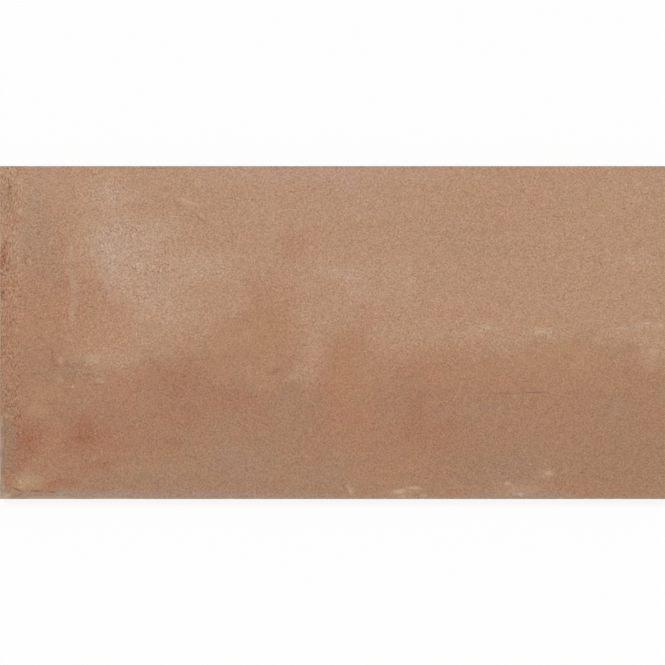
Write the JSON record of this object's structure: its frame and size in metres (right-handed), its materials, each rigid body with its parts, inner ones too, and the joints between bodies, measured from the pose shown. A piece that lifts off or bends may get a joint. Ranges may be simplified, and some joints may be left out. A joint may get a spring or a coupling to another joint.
{
  "type": "floor tile",
  "caption": "Rectangular terracotta-look stoneware floor tile with a matt face, a fine ground bevel round the face and a waffle-keyed back.",
  "frame": {"origin": "middle of the back, on the plane that the tile lies on", "axes": "+X along the long edge, +Y along the short edge, +Z out of the walking face"},
  "size_m": [0.6, 0.3, 0.0095],
  "materials": {
    "fired_clay": "matt terracotta with paler and redder clouding, fine grain and limy marks along two edges"
  },
  "bodies": {
    "root": {"floor_tile": "fired_clay"}
  },
  "joints": []
}
